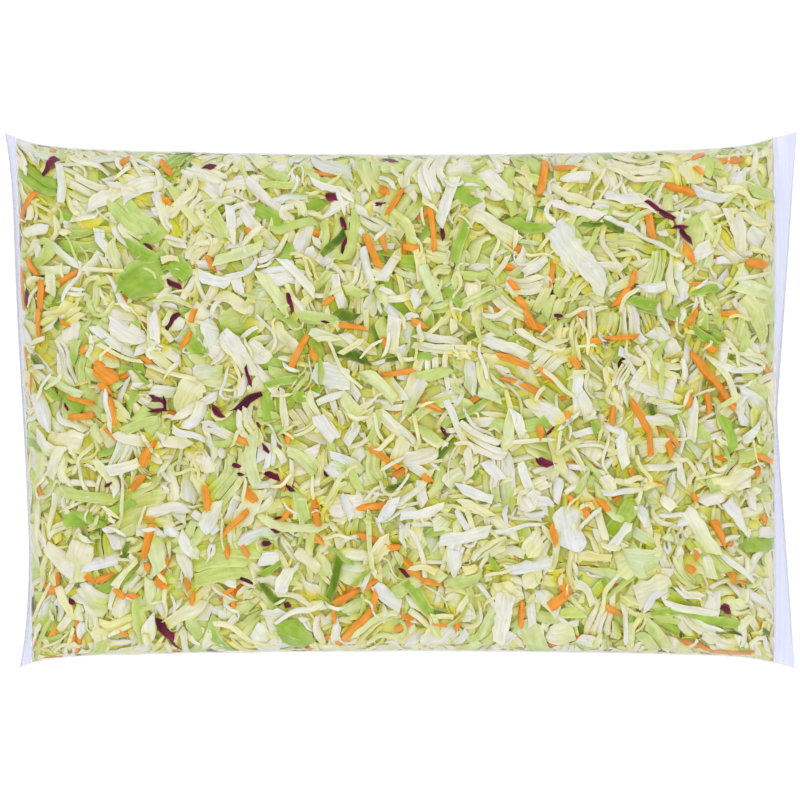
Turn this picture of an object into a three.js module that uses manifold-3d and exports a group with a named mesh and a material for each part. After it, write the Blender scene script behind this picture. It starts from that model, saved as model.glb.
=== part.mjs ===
// A sealed pillow bag of shredded coleslaw mix, lying on its back.
// Millimetres, +Z up. X runs from end seal to end seal, Y across the bag, and the origin is
// on the table under the middle of the bag.
//
// The bag is a tube of clear film, filled and then sealed flat at both ends. It is one closed
// solid: the filled body with the lumpy surface that the packed shreds give the film, the two
// end fins that bend down from it, and the largest shreds, which stand out from the rest.

import * as THREE from "three";
import { mergeVertices } from "three/addons/utils/BufferGeometryUtils.js";
import Module from "manifold-3d";

// Driving dimensions of the bag
const LENGTH = 448; // between the outer edges of the seals, at the corners
const LAYFLAT = 304; // width of the empty tube, which the seals keep at their corners
const WAIST_FAR = 138.2; // from the middle line to the filled side on +Y
const WAIST_NEAR = 141.5; // and on -Y
const EAR = 3.5; // how much narrower than the layflat width the tube is where a seal starts
const SEAM_Z = 25; // height of the widest line round the filled body
const RISE = 31; // body above the seam line
const DROP = 30; // body below the seam line, before the table flattens it
const SQUARENESS = 2.6; // exponent of the section, 2 for an ellipse
const END_LENGTH = 64; // stretch over which the body closes to the seal
const END_BLUNTNESS = 2.1; // exponent of the closing curve, 2 for a quarter ellipse
const SEAL_WAVE = 1; // height of the slow wave that the seals keep
const SEAL_WAVE_LENGTH = 195;
const CORNER_DROOP = 7; // how far the corners hang below the seam line

// Where the film layers meet at each end. The left seal is skewed on its +Y part.
const ROOT_RIGHT = 211.4;
const ROOT_LEFT = -208.2;
const ROOT_SKEW = 9.2;
const SKEW_START = -85;

// The end fins: how much of their width shows from above. The rest hangs down.
const FIN_WIDTH = 13;
const FIN_THICKNESS = 1.2;
const RIGHT_SHOW_LEAST = 1.4;
const RIGHT_SHOW_CORNER = 12.6;
const RIGHT_FOLD = -8; // place along the right fin where it hangs steepest
const LEFT_SHOW = 1.9;
const LEFT_SHOW_WAVE = 0.9;
const LEFT_WAVE_LENGTH = 280;
const LEFT_SHOW_CORNER = 5; // added at the corners

// Relief that the packed shreds give the film
const RELIEF = 1.1;
const RELIEF_MEAN = 0.4; // share of the relief taken off, so that it lies about the surface
const SETTLED = 12; // distance from a seal over which the relief grows
const PUCKER = 1.3; // height of the gathers beside the seals
const PUCKER_PITCH = 23;
const PUCKER_REACH = 34;
const LUMPS = 620;
const LUMP_LENGTH = [16, 34];
const LUMP_WIDTH = [7, 13];
const LUMP_HEIGHT = [0.4, 1];

// Grid of the body
const STATIONS = 40;
const AROUND = 44;
const FIN_STEPS = 2;
const CROWDING = 0.8; // share of a half wave that spaces the stations

// The largest shreds: how many of each, length, width, and how far they stand out
const CABBAGE = { count: 34, length: [34, 58], width: [4.5, 7], proud: [0.9, 1.5], bend: 0.5 };
const LEAF = { count: 14, length: [20, 30], width: [13, 20], proud: [0.7, 1.1], bend: 0.25 };
const CARROT = { count: 14, length: [28, 46], width: [3, 3.8], proud: [1.2, 1.8], bend: 0.35 };
const SHRED_STEP = 11; // length of one straight piece of a shred
const SHRED_ROOT = 1.6; // how deep a shred reaches into the body
const TIP_NARROWING = 0.45; // share of its width that a shred loses at its tips
const TIP_SINKING = 0.25; // share of its height that it loses there
const TABLE_GAP = 5; // shreds stay this far above the table
const SEAL_GAP = 10; // and this far from the seals

// A seeded draw, so that every run gives the same bag
function seeded(seed) {
  let state = seed;
  return () => {
    state = (state * 1664525 + 1013904223) % 4294967296;
    return state / 4294967296;
  };
}
const draw = seeded(20);
const between = ([low, high]) => low + (high - low) * draw();

const power = (base, exponent) => Math.sign(base) * Math.abs(base) ** exponent;
const mix = (a, b, t) => a + (b - a) * t;
const clamp = THREE.MathUtils.clamp;

// How far the body has opened from its waist to its width at the seals, for u from -1 to 1:
// partly all along the bag, partly just before the seals
const flare = (u) => 0.45 * u ** 2 + 0.55 * u ** 16;

// Share of the full thickness at a distance from the seal's root
function fullness(distance) {
  const gap = clamp(1 - distance / END_LENGTH, 0, 1);
  return (1 - gap ** END_BLUNTNESS) ** (1 / END_BLUNTNESS);
}

// Plan line of the left seal's root
function rootLeft(y) {
  const skewed = clamp((y - SKEW_START) / (LAYFLAT / 2 - SKEW_START), 0, 1);
  return ROOT_LEFT - ROOT_SKEW * skewed;
}

// Height of the flat seal: a slow wave along it, hanging at the corners
function sealZ(y) {
  const droop = CORNER_DROOP * Math.abs(y / (LAYFLAT / 2)) ** 3;
  return SEAM_Z - droop + SEAL_WAVE * Math.sin((2 * Math.PI * y) / SEAL_WAVE_LENGTH);
}

// The angle round the section for each share of its length, so that shreds keep their size
const TABLE_STEPS = 720;
const sectionLengths = (() => {
  const at = (angle) => [
    ((WAIST_FAR + WAIST_NEAR) / 2) * power(Math.cos(angle), 2 / SQUARENESS),
    RISE * power(Math.sin(angle), 2 / SQUARENESS),
  ];
  const lengths = [0];
  for (let i = 1; i <= TABLE_STEPS; i++) {
    const [y0, z0] = at((2 * Math.PI * (i - 1)) / TABLE_STEPS);
    const [y1, z1] = at((2 * Math.PI * i) / TABLE_STEPS);
    lengths.push(lengths[i - 1] + Math.hypot(y1 - y0, z1 - z0));
  }
  return lengths.map((length) => length / lengths[TABLE_STEPS]);
})();

function angleAt(turn) {
  const wrapped = turn - Math.floor(turn);
  let low = 0;
  let high = TABLE_STEPS;
  while (high - low > 1) {
    const middle = (low + high) >> 1;
    if (sectionLengths[middle] <= wrapped) low = middle;
    else high = middle;
  }
  const span = sectionLengths[high] - sectionLengths[low];
  return (2 * Math.PI * (low + (wrapped - sectionLengths[low]) / span)) / TABLE_STEPS;
}

// The section: shares of the half width and half height. turn runs from 0 to 1 round the tube,
// from the +Y side over the top.
const SIDE_TURN = 0.5 / AROUND; // ring points start here, so that they pair up above and below
const SIDE_SHARE = power(Math.cos(angleAt(SIDE_TURN)), 2 / SQUARENESS);

function section(turn) {
  const angle = angleAt(turn);
  return {
    across: clamp(power(Math.cos(angle), 2 / SQUARENESS) / SIDE_SHARE, -1, 1),
    up: power(Math.sin(angle), 2 / SQUARENESS),
  };
}

// A point of the smooth body, with u from -1 to 1 between the seal roots
function bodyPoint(u, turn) {
  const { across, up } = section(turn);
  const waist = across > 0 ? WAIST_FAR : WAIST_NEAR;
  const y = across * mix(waist, LAYFLAT / 2 - EAR, flare(u));
  const x = mix(rootLeft(y), ROOT_RIGHT, (u + 1) / 2);
  const open = fullness(Math.min(x - rootLeft(y), ROOT_RIGHT - x));
  const half = Math.max((up > 0 ? RISE : DROP) * open, FIN_THICKNESS / 2);
  const seam = mix(sealZ(y), SEAM_Z, Math.min(1, open * 1.2));
  return new THREE.Vector3(x, y, Math.max(0, seam + up * half));
}

function bodyNormal(u, turn) {
  const du = 0.004;
  const dt = 0.002;
  const along = bodyPoint(Math.min(u + du, 1), turn).sub(bodyPoint(Math.max(u - du, -1), turn));
  const round = bodyPoint(u, turn + dt).sub(bodyPoint(u, turn - dt));
  return round.cross(along).normalize();
}

// Lumps are short ridges in random directions, in millimetres along and round the tube
const GIRTH = 2 * LAYFLAT;
const BODY_LENGTH = ROOT_RIGHT - ROOT_LEFT;
const lumps = Array.from({ length: LUMPS }, () => ({
  along: (draw() - 0.5) * BODY_LENGTH,
  round: draw() * GIRTH,
  angle: draw() * Math.PI,
  length: between(LUMP_LENGTH),
  width: between(LUMP_WIDTH),
  height: between(LUMP_HEIGHT),
}));

function lumpHeight(along, round) {
  let height = 0;
  for (const lump of lumps) {
    const dx = along - lump.along;
    const dy = ((round - lump.round + 1.5 * GIRTH) % GIRTH) - GIRTH / 2;
    if (Math.abs(dx) > lump.length || Math.abs(dy) > lump.length) continue;
    const run = (dx * Math.cos(lump.angle) + dy * Math.sin(lump.angle)) / (lump.length / 2);
    const side = (dy * Math.cos(lump.angle) - dx * Math.sin(lump.angle)) / (lump.width / 2);
    height = Math.max(height, lump.height * (1 - run * run - side * side));
  }
  return height;
}

// The film's surface over the shreds, with the gathers beside the seals
function filmPoint(u, turn) {
  const point = bodyPoint(u, turn);
  if (point.z === 0) return point;
  const toSeal = Math.min(point.x - rootLeft(point.y), ROOT_RIGHT - point.x);
  const settled = clamp(toSeal / SETTLED, 0, 1);
  const gather = Math.max(0, 1 - toSeal / PUCKER_REACH) * settled;
  const relief = lumpHeight((u * BODY_LENGTH) / 2, turn * GIRTH) - RELIEF_MEAN;
  const pucker = PUCKER * gather * Math.cos((2 * Math.PI * point.y) / PUCKER_PITCH);
  point.addScaledVector(bodyNormal(u, turn), RELIEF * relief * settled + pucker);
  point.z = Math.max(0, point.z);
  return point;
}

// How much of a fin's width shows from above at each place along it
function showRight(y) {
  const fromFold = Math.abs(y - RIGHT_FOLD) / (LAYFLAT / 2 - RIGHT_FOLD);
  return mix(RIGHT_SHOW_LEAST, RIGHT_SHOW_CORNER, fromFold);
}

function showLeft(y) {
  const wave = LEFT_SHOW_WAVE * Math.sin((2 * Math.PI * y) / LEFT_WAVE_LENGTH);
  return LEFT_SHOW + wave + LEFT_SHOW_CORNER * Math.abs(y / (LAYFLAT / 2)) ** 6;
}

// Plan distance from a seal's root to the edge of its fin, with the corners at the full length
function reachOf(side, y) {
  const corner = LAYFLAT / 2;
  if (side > 0) return (showRight(y) / showRight(corner)) * (LENGTH / 2 - ROOT_RIGHT);
  return (showLeft(y) / showLeft(corner)) * (LENGTH / 2 + rootLeft(corner));
}

// A point of a fin: side is 1 or -1, out runs from 0 at the root to 1 at the edge. The fin
// leaves the seal level and curls down, and its thickness lies across it.
function finPoint(side, turn, out) {
  const { across, up } = section(turn);
  const y = across * (LAYFLAT / 2 - EAR * (1 - out));
  const reach = reachOf(side, y);
  const hang = Math.sqrt(FIN_WIDTH ** 2 - reach ** 2);
  const tilt = Math.atan2(1.3 * hang * out ** 0.3, 1.6 * reach * (1 - out) ** 0.6);
  const lift = (up * FIN_THICKNESS) / 2;
  const root = side > 0 ? ROOT_RIGHT : rootLeft(y);
  return new THREE.Vector3(
    root + side * (reach * (1 - (1 - out) ** 1.6) + lift * Math.sin(tilt)),
    y,
    sealZ(y) - hang * out ** 1.3 + lift * Math.cos(tilt),
  );
}

// Closes a stack of rings with equal point counts into one surface, ends included
function closedSurface(rings) {
  const round = rings[0].length;
  const positions = rings.flat().flatMap((point) => point.toArray());
  const index = [];
  for (let i = 0; i + 1 < rings.length; i++) {
    for (let j = 0; j < round; j++) {
      const next = (j + 1) % round;
      const [a, b] = [i * round + j, i * round + next];
      index.push(a, b, a + round, b, b + round, a + round);
    }
  }
  const last = (rings.length - 1) * round;
  for (let j = 0; j + 1 < round / 2; j++) {
    const [a, b, c, d] = [j, j + 1, round - 1 - j, round - 2 - j];
    index.push(a, c, b, b, c, d);
    index.push(last + a, last + b, last + c, last + b, last + d, last + c);
  }
  const geometry = new THREE.BufferGeometry();
  geometry.setAttribute("position", new THREE.Float32BufferAttribute(positions, 3));
  geometry.setIndex(index);
  return geometry;
}

// Stations crowd towards the seals, where the body closes
function stationAt(share) {
  const phase = (CROWDING * Math.PI) / 2;
  return Math.sin((2 * share - 1) * phase) / Math.sin(phase);
}

function filledBag() {
  const turns = Array.from({ length: AROUND }, (_, j) => j / AROUND + SIDE_TURN);
  const rings = [];
  for (let k = FIN_STEPS; k >= 1; k--) {
    rings.push(turns.map((turn) => finPoint(-1, turn, k / FIN_STEPS)));
  }
  for (let i = 0; i <= STATIONS; i++) {
    rings.push(turns.map((turn) => filmPoint(stationAt(i / STATIONS), turn)));
  }
  for (let k = 1; k <= FIN_STEPS; k++) {
    rings.push(turns.map((turn) => finPoint(1, turn, k / FIN_STEPS)));
  }
  return closedSurface(rings);
}

// One shred: a curved strip that follows the film, with narrowed ends
function shred({ length, width, proud, bend }) {
  const size = between(length);
  const steps = Math.max(2, Math.round(size / SHRED_STEP));
  const half = between(width) / 2;
  const height = between(proud);
  let heading = draw() * 2 * Math.PI;
  const turnRate = (draw() - 0.5) * 2 * bend;
  let along = (draw() - 0.5) * (BODY_LENGTH - 2 * PUCKER_REACH);
  let round = draw() * GIRTH;
  const rings = [];
  for (let i = 0; i <= steps; i++) {
    const end = Math.abs((2 * i) / steps - 1);
    const wide = half * (1 - TIP_NARROWING * end ** 3);
    const rise = height * (1 - TIP_SINKING * end ** 2);
    const corner = (side, lift) => {
      const u = (2 * (along - side * wide * Math.sin(heading))) / BODY_LENGTH;
      const turn = (round + side * wide * Math.cos(heading)) / GIRTH;
      return bodyPoint(u, turn).addScaledVector(bodyNormal(u, turn), lift);
    };
    rings.push([corner(-1, rise), corner(1, rise), corner(1, -SHRED_ROOT), corner(-1, -SHRED_ROOT)]);
    along += (size / steps) * Math.cos(heading);
    round += (size / steps) * Math.sin(heading);
    heading += turnRate;
  }
  return rings;
}

const wasm = await Module();
wasm.setup();

function solid(geometry) {
  const merged = mergeVertices(geometry, 1e-4);
  return new wasm.Manifold(
    new wasm.Mesh({
      numProp: 3,
      vertProperties: merged.attributes.position.array,
      triVerts: new Uint32Array(merged.index.array),
    }),
  );
}

function geometryOf(manifold) {
  const mesh = manifold.getMesh();
  const geometry = new THREE.BufferGeometry();
  geometry.setAttribute("position", new THREE.BufferAttribute(mesh.vertProperties, 3));
  geometry.setIndex(new THREE.BufferAttribute(mesh.triVerts, 1));
  geometry.computeVertexNormals();
  return geometry;
}

const isClear = (point) =>
  point.z > TABLE_GAP && point.x > ROOT_LEFT + SEAL_GAP && point.x < ROOT_RIGHT - SEAL_GAP;

// The largest shreds are fused to the body, kept off the table and inside the bag's ends
function withShreds(body) {
  let whole = body;
  for (const sort of [CABBAGE, LEAF, CARROT]) {
    let placed = 0;
    while (placed < sort.count) {
      const rings = shred(sort);
      if (!rings.flat().every(isClear)) continue;
      whole = whole.add(solid(closedSurface(rings)));
      placed++;
    }
  }
  return whole;
}

const bag = new THREE.Mesh(
  geometryOf(withShreds(solid(filledBag()))),
  new THREE.MeshStandardMaterial({ color: 0xdde0b0, roughness: 0.35, metalness: 0 }),
);
bag.name = "bag";

const coleslawBag = new THREE.Group();
coleslawBag.name = "coleslaw_mix_bag";
coleslawBag.add(bag);

export default coleslawBag;
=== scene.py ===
"""A clear sealed pillow bag of shredded coleslaw mix on a white floor, seen from straight above.

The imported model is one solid, the filled bag. The pieces here stand for it: the clear film with
its end fins, the shreds of each kind pressed against it from inside, and the core behind them.

The shreds are laid on a grid of heights spread out over the bag's surface, one after the other,
each draped over what lies under it. Then the whole pile is wrapped onto the bag.

Shapes are worked out in millimetres, and scaled to metres when a mesh is made.
"""

import math
from dataclasses import dataclass

import bpy
import numpy as np
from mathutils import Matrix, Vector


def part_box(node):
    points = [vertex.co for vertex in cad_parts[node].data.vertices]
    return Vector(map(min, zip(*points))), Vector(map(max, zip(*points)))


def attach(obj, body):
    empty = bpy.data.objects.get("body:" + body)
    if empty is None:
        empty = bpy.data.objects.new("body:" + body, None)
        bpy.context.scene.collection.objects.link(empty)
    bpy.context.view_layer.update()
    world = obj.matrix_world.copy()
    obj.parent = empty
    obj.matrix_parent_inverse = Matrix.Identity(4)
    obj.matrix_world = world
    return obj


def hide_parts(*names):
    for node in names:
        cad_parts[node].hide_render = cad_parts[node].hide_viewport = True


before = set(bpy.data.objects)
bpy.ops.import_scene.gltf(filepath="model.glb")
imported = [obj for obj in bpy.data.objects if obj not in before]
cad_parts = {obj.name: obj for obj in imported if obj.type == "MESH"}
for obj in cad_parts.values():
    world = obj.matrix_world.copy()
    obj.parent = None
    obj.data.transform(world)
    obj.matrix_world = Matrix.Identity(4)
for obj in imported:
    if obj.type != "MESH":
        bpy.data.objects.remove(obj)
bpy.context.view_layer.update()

MM = 0.001
LOW, HIGH = (np.array(corner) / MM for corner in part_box("bag"))
rng = np.random.default_rng(11)

# The bag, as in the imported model
LENGTH = HIGH[0] - LOW[0]
LAYFLAT = HIGH[1] - LOW[1]
WAIST_FAR = 138.2
WAIST_NEAR = 141.5
EAR = 3.5
SEAM_Z = 25.0
RISE = 31.0
DROP = 30.0
SQUARENESS = 2.6
END_LENGTH = 64.0
END_BLUNTNESS = 2.1
SEAL_WAVE = 1.0
SEAL_WAVE_LENGTH = 195.0
CORNER_DROOP = 7.0
ROOT_RIGHT = 211.4
ROOT_LEFT = -208.2
ROOT_SKEW = 9.2
SKEW_START = -85.0
FIN_WIDTH = 13.0
RIGHT_SHOW_LEAST = 1.4  # how far a fin shows past its root, seen from above
RIGHT_SHOW_CORNER = 12.6
RIGHT_FOLD = -8.0
LEFT_SHOW = 1.9
LEFT_SHOW_WAVE = 0.9
LEFT_WAVE_LENGTH = 280.0
LEFT_SHOW_CORNER = 5.0

# The film
FILM_STEP = 2.4  # size of its faces
FIN_THICKNESS = 0.5
FIN_STEPS = 26
RIB_PITCH = 1.5  # the seal's ribs run along it
RIB_HEIGHT = 0.12
PUCKER = 0.9  # gathers beside the seals
PUCKER_PITCH = 11.0
PUCKER_REACH = 26.0
SETTLED = 10.0  # length beside a seal over which the film rises to the shreds' relief
HAZE = 0.004  # share of light that the film scatters where it lies smooth
EDGE_HAZE_AND_SHEEN = 0.24  # most that it adds besides along the sides and seals, where it is creased and seen edge-on from above: partly the film's milky scatter, partly a painted sheen standing in for its grazing reflection
EDGE_HAZE_FALL = 1.5
FIN_HAZE = 0.14
HAZE_AND_SHEEN_ZONE = 24.0
HAZE_PATCHES = 24  # stretches along the bag that are more or less creased, with more or less of that haze and painted sheen
PATCH_LEAST = 0.4
VEIL_ZONE = 12.0  # strip along the far side where the film stands off the shreds and looks white, partly from its milkiness and partly from a painted sheen
VEIL_AND_SHEEN = (  # how white it looks there, at shares of the bag's length
    (0.0, 0.28), (0.09, 0.28), (0.14, 0.1), (0.46, 0.12), (0.53, 0.32), (0.6, 0.36),
    (0.72, 0.36), (0.8, 0.2), (0.9, 0.2), (0.95, 0.28), (1.0, 0.28),
)
SEAL_TINT_REACH = 4.0  # length beside a seal over which the fin's tint fades

# The pile of shreds behind the film
CELL = 1.0
CLEARANCE = 0.35  # between the film and the shreds that it presses on
PRESS = 0.5  # how far the film flattens the highest shreds
SOFT_PRESS = 0.22  # rounding where a shred comes against the film
RELIEF_LIMIT = 1.3  # most that the film rises or sinks over the shreds
LEVEL_SPREAD = 24.0  # reach over which the pile's own hills are evened out
GROUND_REACH = 0.7  # share of its half width at which a shred feels what is under it
MOST_ROLL = 0.35
UNDER_SHARE = 0.5  # shreds on the underside for each one on top
END_MARGIN = 0.5
UNSEEN_SHARE = 0.12  # share of carrot and red cabbage among the shreds of the surface
SIDE_ZONE = 18.0  # strip along the sides and seals where the shreds follow the film closely
SIDE_TIGHTNESS = 0.88
CORE_STEP = 3.0  # size of the core's faces
CORE_GAP = 0.8  # between the level of the shreds and the core
CORE_BUMPS = 0.9
CORE_LEAST_DEPTH = 1.5
CORE_END = 1.0

# The photograph's frame
IMAGE_SIZE = 800
PIXEL = 0.5627
CENTRE_PIXEL = (399.5, 399.5)
PIXEL_BLUR = 0.6  # how much wider a thin piece looks than it is
NARROW_SEEN = 8  # a cabbage piece this narrow is a strip, in pixels
WIDE_SEEN = 15  # and one this wide is a flake
SEEN_SWAY = 0.4  # share of the usual bend
LONGEST_CUT = 2.6  # how far an oblique cut runs along a wide piece
RED_SHOWN = 0.7  # share of the width of a red piece that shows
WIDTH_BAND = 6  # seen pieces are laid from wide to narrow, in bands this wide
CROSSED_SHARE = 0.45  # share of the seen pieces that a thin shred crosses
CROSSING_KINDS = ("curled_shreds", "pale_shreds", "scraps")
CROSSING_LENGTH = (7, 18)
CROSSING_WIDTH = (1.2, 3.2)


def power(base, exponent):
    return np.sign(base) * np.abs(base) ** exponent


def mix(a, b, t):
    return a + (b - a) * t


def between(limits):
    return limits[0] + (limits[1] - limits[0]) * rng.random()


# Form of the bag


def flare(u):
    return 0.45 * u**2 + 0.55 * u**16


def fullness(distance):
    gap = np.clip(1 - distance / END_LENGTH, 0, 1)
    return (1 - gap**END_BLUNTNESS) ** (1 / END_BLUNTNESS)


def root_left(y):
    return ROOT_LEFT - ROOT_SKEW * np.clip((y - SKEW_START) / (LAYFLAT / 2 - SKEW_START), 0, 1)


def seal_z(y):
    droop = CORNER_DROOP * np.abs(y / (LAYFLAT / 2)) ** 3
    return SEAM_Z - droop + SEAL_WAVE * np.sin(2 * np.pi * y / SEAL_WAVE_LENGTH)


def section_table(steps=2000):
    """Length round the middle section at each angle, from the +Y side over the top."""
    angle = np.linspace(0, 2 * np.pi, steps + 1)
    y = (WAIST_FAR + WAIST_NEAR) / 2 * power(np.cos(angle), 2 / SQUARENESS)
    z = RISE * power(np.sin(angle), 2 / SQUARENESS)
    return angle, np.append(0, np.cumsum(np.hypot(np.diff(y), np.diff(z))))


def profile_table(steps=2000):
    """Length along the middle of the top at each u, from the left seal to the right one."""
    u = np.linspace(-1, 1, steps + 1)
    x = mix(root_left(0), ROOT_RIGHT, (u + 1) / 2)
    z = RISE * fullness(np.minimum(x - x[0], x[-1] - x))
    return u, np.append(0, np.cumsum(np.hypot(np.diff(x), np.diff(z))))


SECTION_ANGLE, SECTION_LENGTH = section_table()
PROFILE_U, PROFILE_LENGTH = profile_table()
GIRTH = SECTION_LENGTH[-1]
RUN = PROFILE_LENGTH[-1]


def section(around):
    """Shares of the half width and the half height, going round the tube."""
    angle = np.interp(np.mod(around, GIRTH), SECTION_LENGTH, SECTION_ANGLE)
    return power(np.cos(angle), 2 / SQUARENESS), power(np.sin(angle), 2 / SQUARENESS)


def surface(along, around, depth):
    """Points at a depth under the film. along goes from seal to seal over the top, and around
    goes round the tube from its far side over the top, both measured on the film."""
    u = np.interp(along, PROFILE_LENGTH, PROFILE_U)
    across, up = section(around)
    waist = np.where(across > 0, WAIST_FAR, WAIST_NEAR)
    y = across * (mix(waist, LAYFLAT / 2 - EAR, flare(u)) - depth)
    left = root_left(y) + depth
    right = ROOT_RIGHT - depth
    x = mix(left, right, (u + 1) / 2)
    opened = fullness(np.minimum(x - left, right - x))
    half = np.maximum((np.where(up > 0, RISE, DROP) - depth) * opened, FIN_THICKNESS / 2)
    seam = mix(seal_z(y), SEAM_Z, np.minimum(1, opened * 1.2))
    z = np.maximum(seam + up * half, np.maximum(depth, 0))
    return np.stack([x, y, z], axis=-1)


def on_top(x, y):
    """Where a point of the photograph, in millimetres from the middle, lies on the film."""
    u = np.clip(2 * (x - root_left(y)) / (ROOT_RIGHT - root_left(y)) - 1, -1, 1)
    waist = WAIST_FAR if y > 0 else WAIST_NEAR
    across = np.clip(y / mix(waist, LAYFLAT / 2 - EAR, flare(u)), -0.999, 0.999)
    angle = math.acos(power(across, SQUARENESS / 2))
    along = np.interp(u, PROFILE_U, PROFILE_LENGTH)
    return np.array([along, np.interp(angle, SECTION_ANGLE, SECTION_LENGTH)])


# The grid of heights that the shreds are laid on
ROWS = int(RUN / CELL) + 1
COLUMNS = int(round(GIRTH / CELL))
height = np.zeros((ROWS, COLUMNS))


def cells(along, around):
    row = np.clip((along / CELL).astype(int), 0, ROWS - 1)
    column = np.mod(around / GIRTH * COLUMNS, COLUMNS).astype(int) % COLUMNS
    return row, column


def sample(grid, along, around):
    """Smooth value of a grid between its cells."""
    row = np.clip(along / CELL - 0.5, 0, ROWS - 1.001)
    column = np.mod(around / GIRTH * COLUMNS - 0.5, COLUMNS)
    i, j = row.astype(int), column.astype(int) % COLUMNS
    s, t = row - i, column - np.floor(column)
    k = (j + 1) % COLUMNS
    return mix(mix(grid[i, j], grid[i + 1, j], s), mix(grid[i, k], grid[i + 1, k], s), t)


def dilated(grid, reach):
    wide = grid.copy()
    for shift in range(1, reach + 1):
        wide = np.maximum(wide, np.maximum(np.roll(grid, shift, 1), np.roll(grid, -shift, 1)))
    tall = wide.copy()
    for shift in range(1, reach + 1):
        tall[shift:] = np.maximum(tall[shift:], wide[:-shift])
        tall[:-shift] = np.maximum(tall[:-shift], wide[shift:])
    return tall


def blurred(grid, spread):
    """Gaussian blur that goes round the tube and stops at the seals."""
    reach = int(3 * spread)
    weights = np.exp(-0.5 * (np.arange(-reach, reach + 1) / spread) ** 2)
    weights /= weights.sum()
    padded = np.pad(grid, ((reach, reach), (0, 0)), mode="edge")
    padded = np.pad(padded, ((0, 0), (reach, reach)), mode="wrap")
    rows = sum(w * padded[k : k + ROWS] for k, w in enumerate(weights))
    return sum(w * rows[:, k : k + COLUMNS] for k, w in enumerate(weights))


# Kinds of shred


def srgb(red, green, blue):
    """A linear colour from screen values from 0 to 255."""
    value = np.array([red, green, blue]) / 255
    return np.where(value <= 0.04045, value / 12.92, ((value + 0.055) / 1.055) ** 2.4)


WHITE = srgb(228, 227, 222)
CREAM = srgb(231, 229, 200)
YELLOW = srgb(230, 222, 148)
PALE = srgb(224, 224, 160)
PALE_GREEN = srgb(214, 224, 166)
LIGHT_GREEN = srgb(194, 210, 116)
GREEN = srgb(150, 184, 58)
MID_GREEN = srgb(102, 132, 0)
DEEP_GREEN = srgb(60, 92, 0)
ORANGE = srgb(238, 154, 48)
DEEP_ORANGE = srgb(220, 120, 20)
PURPLE = srgb(62, 2, 28)
PLUM = srgb(118, 12, 54)
RIMS = {"cabbage": srgb(234, 232, 166), "carrot": DEEP_ORANGE, "red_cabbage": srgb(148, 60, 86)}
RIM_SHARE = 0.5  # most that a shred's edges take of the rim colour
EDGE_CROWD = 0.6  # brings the points across a shred nearer to its edges
# painted shade: the core is coloured as deep, shaded shreds, olive-yellow with the deep shade tint in it
CORE_SHADE_COLOUR = srgb(222, 214, 96)
PAINTED_DEEP_SHADE = np.array([1.03, 0.96, 0.12])  # painted shade: darker olive tint of shreds under others, standing in for their shadow and the light that reaches them through other leaves
PAINTED_SHADE_START = 1.15  # how far under its neighbours a shred takes that painted shade
PAINTED_SHADE_FULL = 3.8


@dataclass
class Kind:
    """A sort of shred. Lengths are in millimetres, and colours are (share, root, tip)."""

    name: str
    share: float  # of all the shreds
    length: tuple
    width: tuple
    thick: tuple
    colours: tuple
    slot: str = "cabbage"
    bend: float = 0.5  # most that it turns along its length, in radians
    tips: tuple = (0.65, 1.0)  # share of its width left at the ends
    taper: tuple = (0.02, 0.15)  # share of its length over which an end narrows
    drape: float = 0.35  # steepest slope at which it follows what is under it
    cup: float = 0.2  # most that its middle line rises or sinks, as a share of its width
    ruffle: float = 0.0  # height of the waves along its edges
    ragged: float = 0.07  # unevenness of its outline, as a share of its width
    twist: float = 0.3  # roll, in radians
    buckle: float = 0.45  # height of the arcs that it makes over others
    bundle: float = 0.0  # share that lies with others of its layer, side by side
    step: float = 3.2  # length of one ring
    points: int = 3  # points across it


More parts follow.
